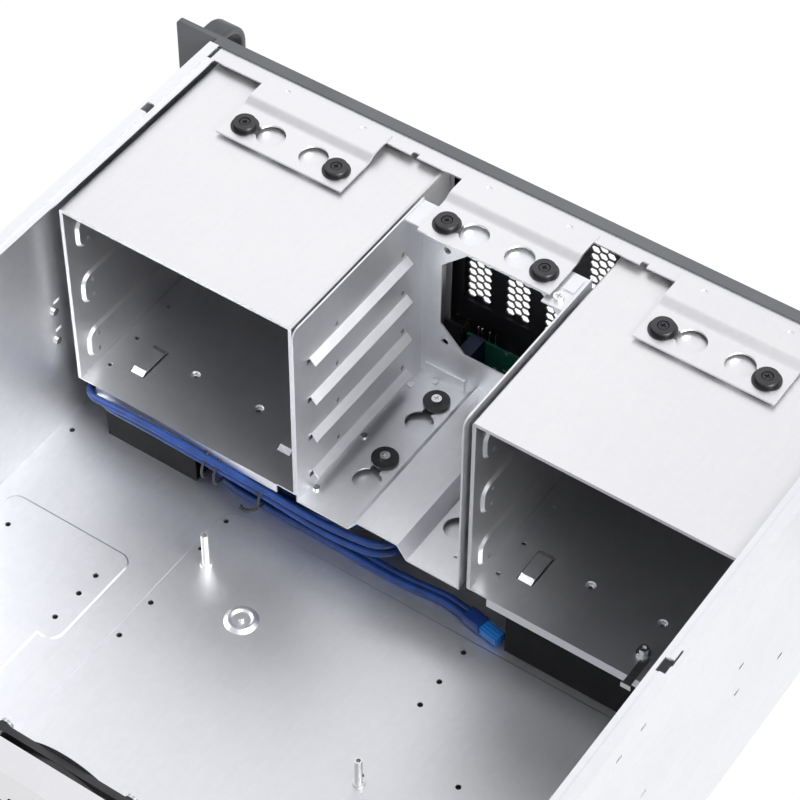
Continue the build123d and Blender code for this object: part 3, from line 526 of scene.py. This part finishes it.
def handlePath(low, high, front, back):
    # The middle of the bar from the panel, forward, up and back again, as Y, Z and turn
    radius = handle["bend"] - handle["thick"] / 2
    near = front + handle["thick"] / 2
    bottom, top = low + handle["thick"] / 2, high - handle["thick"] / 2
    path = [(back, bottom, -90.0)]
    for step in range(handle["turns"]):
        turn = math.radians(90 * step / (handle["turns"] - 1))
        spot = (near + radius - radius * math.sin(turn), bottom + radius - radius * math.cos(turn))
        path.append((*spot, -90.0 - math.degrees(turn)))
    for step in range(handle["turns"]):
        turn = math.radians(90 * step / (handle["turns"] - 1))
        spot = (near + radius - radius * math.cos(turn), top - radius + radius * math.sin(turn))
        path.append((*spot, 180.0 - math.degrees(turn)))
    path.append((back, top, 90.0))
    return path


def handleSection(width):
    # The rounded bar section as pairs of across and outward
    section = []
    halfWidth, halfThick = width / 2 - handle["round"], handle["thick"] / 2 - handle["round"]
    for corner, (signX, signOut) in enumerate(((1, 1), (-1, 1), (-1, -1), (1, -1))):
        for step in range(handle["cornerSteps"] + 1):
            angle = math.radians(90 * corner + 90 * step / handle["cornerSteps"])
            section.append((
                signX * halfWidth + handle["round"] * math.cos(angle),
                signOut * halfThick + handle["round"] * math.sin(angle),
            ))
    return section


def addHandle(name):
    # Rings of the section along the path, joined by faces and closed at both roots
    low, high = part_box(name)
    middle = (low[0] + high[0]) / 2
    form = bmesh.new()
    rings = []
    for y, z, turn in handlePath(low[2], handle["top"], low[1], high[1] + handle["sunk"]):
        outward = (math.cos(math.radians(turn)), math.sin(math.radians(turn)))
        rings.append([
            form.verts.new((middle + across, y + outward[0] * out, z + outward[1] * out))
            for across, out in handleSection(high[0] - low[0])
        ])
    for first, second in zip(rings, rings[1:]):
        for place in range(len(first)):
            after = (place + 1) % len(first)
            form.faces.new((first[place], first[after], second[after], second[place]))
    form.faces.new(rings[0])
    form.faces.new(rings[-1][::-1])
    bmesh.ops.recalc_face_normals(form, faces=form.faces)
    for face in form.faces:
        face.smooth = face.calc_area() < handle["flatArea"]
    addPiece(name.replace("handle", "bow"), form, handlePaint, name)


# Brackets: the folded sheet stands a little off the cage on its rubbers

bracket = {
    "lift": 0.0018, "fold": 0.0016, "foldSteps": 5, "foot": 0.0016, "clear": (18.5, 31.0),
    "foldAngle": (0.3, 1.2), "foldLength": 0.06, "near": 0.00001,
}


def clearFolds(form):
    # Plain strips beside the folds, so that a bevel runs straight along them
    near, far = (point(0, y, 0).y for y in bracket["clear"])
    reach = bracket["near"]
    for row in (near, far):
        everything = form.verts[:] + form.edges[:] + form.faces[:]
        bmesh.ops.bisect_plane(form, geom=everything, plane_co=(0, row, 0), plane_no=(0, 1, 0))
    spare = []
    for edge in form.edges:
        inside = all(near - reach < corner.co.y < far + reach for corner in edge.verts)
        along = abs(edge.verts[0].co.y - edge.verts[1].co.y) < reach
        if inside and not along and len(edge.link_faces) == 2 and edge.calc_face_angle() < 0.01:
            spare.append(edge)
    bmesh.ops.dissolve_edges(form, edges=spare)


def isFold(edge):
    # A long bend along X, neither flat nor a cut edge of the sheet
    if len(edge.link_faces) != 2:
        return False
    run = edge.verts[1].co - edge.verts[0].co
    straight = abs(run.y) < 0.0001 and abs(run.z) < 0.0001 and abs(run.x) > bracket["foldLength"]
    shallow, steep = bracket["foldAngle"]
    return straight and shallow < edge.calc_face_angle() < steep


def addBracket(name):
    # A copy of the sheet with its foot raised and its folds rounded
    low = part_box(name)[0]
    form = bmesh.new()
    form.from_mesh(nodes[name].data)
    bmesh.ops.remove_doubles(form, verts=form.verts, dist=0.000002)
    for corner in form.verts:
        if corner.co.z < low[2] + bracket["foot"]:
            corner.co.z += bracket["lift"]
    clearFolds(form)
    for face in form.faces:
        face.smooth = False
    rounded = bmesh.ops.bevel(
        form, geom=[edge for edge in form.edges if isFold(edge)], offset=bracket["fold"],
        segments=bracket["foldSteps"], profile=0.5, affect="EDGES",
    )
    for face in rounded["faces"]:
        face.smooth = True
    addPiece(name + "_folded", form, materials["bright_sheet"], name)


# Fans: the outermost ring of each guard shows above the frame

guardWire = {"radius": 42.3, "spread": 34.0, "thick": 0.00045, "steps": 10}


def addGuardWire(number):
    # An arc round the fan's axis that lies on the frame's inner face
    low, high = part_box("fan_" + str(number) + "_frame")
    x, z = (low[0] + high[0]) * 500, (low[2] + high[2]) * 500
    y = (low[1] - guardWire["thick"] - frontSheet) * 1000
    route = []
    for step in range(guardWire["steps"] + 1):
        angle = math.radians(guardWire["spread"] * (2 * step / guardWire["steps"] - 1))
        across, up = guardWire["radius"] * math.sin(angle), guardWire["radius"] * math.cos(angle)
        route.append((x + across, y, z + up))
    wire = tube("guard_wire_" + str(number), route, guardWire["thick"], materials["black_screw"])
    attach(wire, "case")


for side in ("right", "left"):
    addHandle("handle_" + side)
for side in ("right", "middle", "left"):
    addBracket("bracket_" + side)
for number in (1, 2):
    addGuardWire(number)
print("handles, brackets and guard wires made")


# Floor and light


# under: near black, painted shade of the case's shadow on the floor, seen through its holes
floor = {
    "size": 30, "drop": 0.0004, "colour": (0.86, 0.86, 0.87), "under": (0.01, 0.01, 0.01),
    "roughness": 0.8, "glow": 1.02, "wide": (0.212, 0.2145), "deep": (0.20, 0.232),
}


def addFloor():
    # A pale floor that looks white to the camera and in reflections, with painted shade under the case
    bpy.ops.mesh.primitive_plane_add(size=floor["size"], location=(0, 0, -floor["drop"]))
    made = bpy.context.object
    made.name = "pale_floor"
    paint = Paint("pale_floor", floor["colour"], floor["roughness"])
    outside = paint.axis("X").size().ramp(*floor["wide"])
    outside = outside.larger(paint.axis("Y").size().ramp(*floor["deep"]))
    # Under the case the floor is painted near black: painted shade
    paint.set("Base Color", paint.blend(outside, floor["under"], floor["colour"]))
    rays = paint.node("ShaderNodeLightPath").outputs
    seen = Value(paint.tree, rays["Is Camera Ray"]) + Value(paint.tree, rays["Is Glossy Ray"])
    seen = (seen + Value(paint.tree, rays["Is Transmission Ray"])).ramp(0.0, 1.0)
    glow = paint.node("ShaderNodeEmission", {"Color": (1, 1, 1, 1), "Strength": floor["glow"]})
    mix = paint.node("ShaderNodeMixShader", {"Fac": seen * outside})
    paint.tree.links.new(paint.shader.outputs[0], mix.inputs[1])
    paint.tree.links.new(glow.outputs[0], mix.inputs[2])
    paint.tree.links.new(mix.outputs[0], paint.tree.nodes["Material Output"].inputs["Surface"])
    made.data.materials.append(paint.material)


lamps = (
    {"name": "key", "place": (-2.0, 0.4, 1.9), "aim": (0.05, 0.05, 0.0), "size": 1.2, "power": 112},
    {"name": "front", "place": (1.1, -1.5, 1.9), "aim": (0, 0, 0.1), "size": 1.9, "power": 7},
)
studio = {"colour": (0.975, 0.972, 1.0, 1), "strength": 0.68}


def addLight():
    # Two soft lamps in an even pale surround
    world = bpy.data.worlds.new("studio")
    world.use_nodes = True
    ground = world.node_tree.nodes["Background"]
    ground.inputs["Color"].default_value = studio["colour"]
    ground.inputs["Strength"].default_value = studio["strength"]
    bpy.context.scene.world = world
    for lamp in lamps:
        data = bpy.data.lights.new(lamp["name"], "AREA")
        data.energy = lamp["power"]
        data.size = lamp["size"]
        made = bpy.data.objects.new(lamp["name"], data)
        made.location = lamp["place"]
        aim = Vector(lamp["aim"]) - made.location
        made.rotation_euler = aim.to_track_quat("-Z", "Y").to_euler()
        bpy.context.collection.objects.link(made)


addFloor()
addLight()
bpy.context.scene.view_settings.view_transform = "Standard"
print("light set")
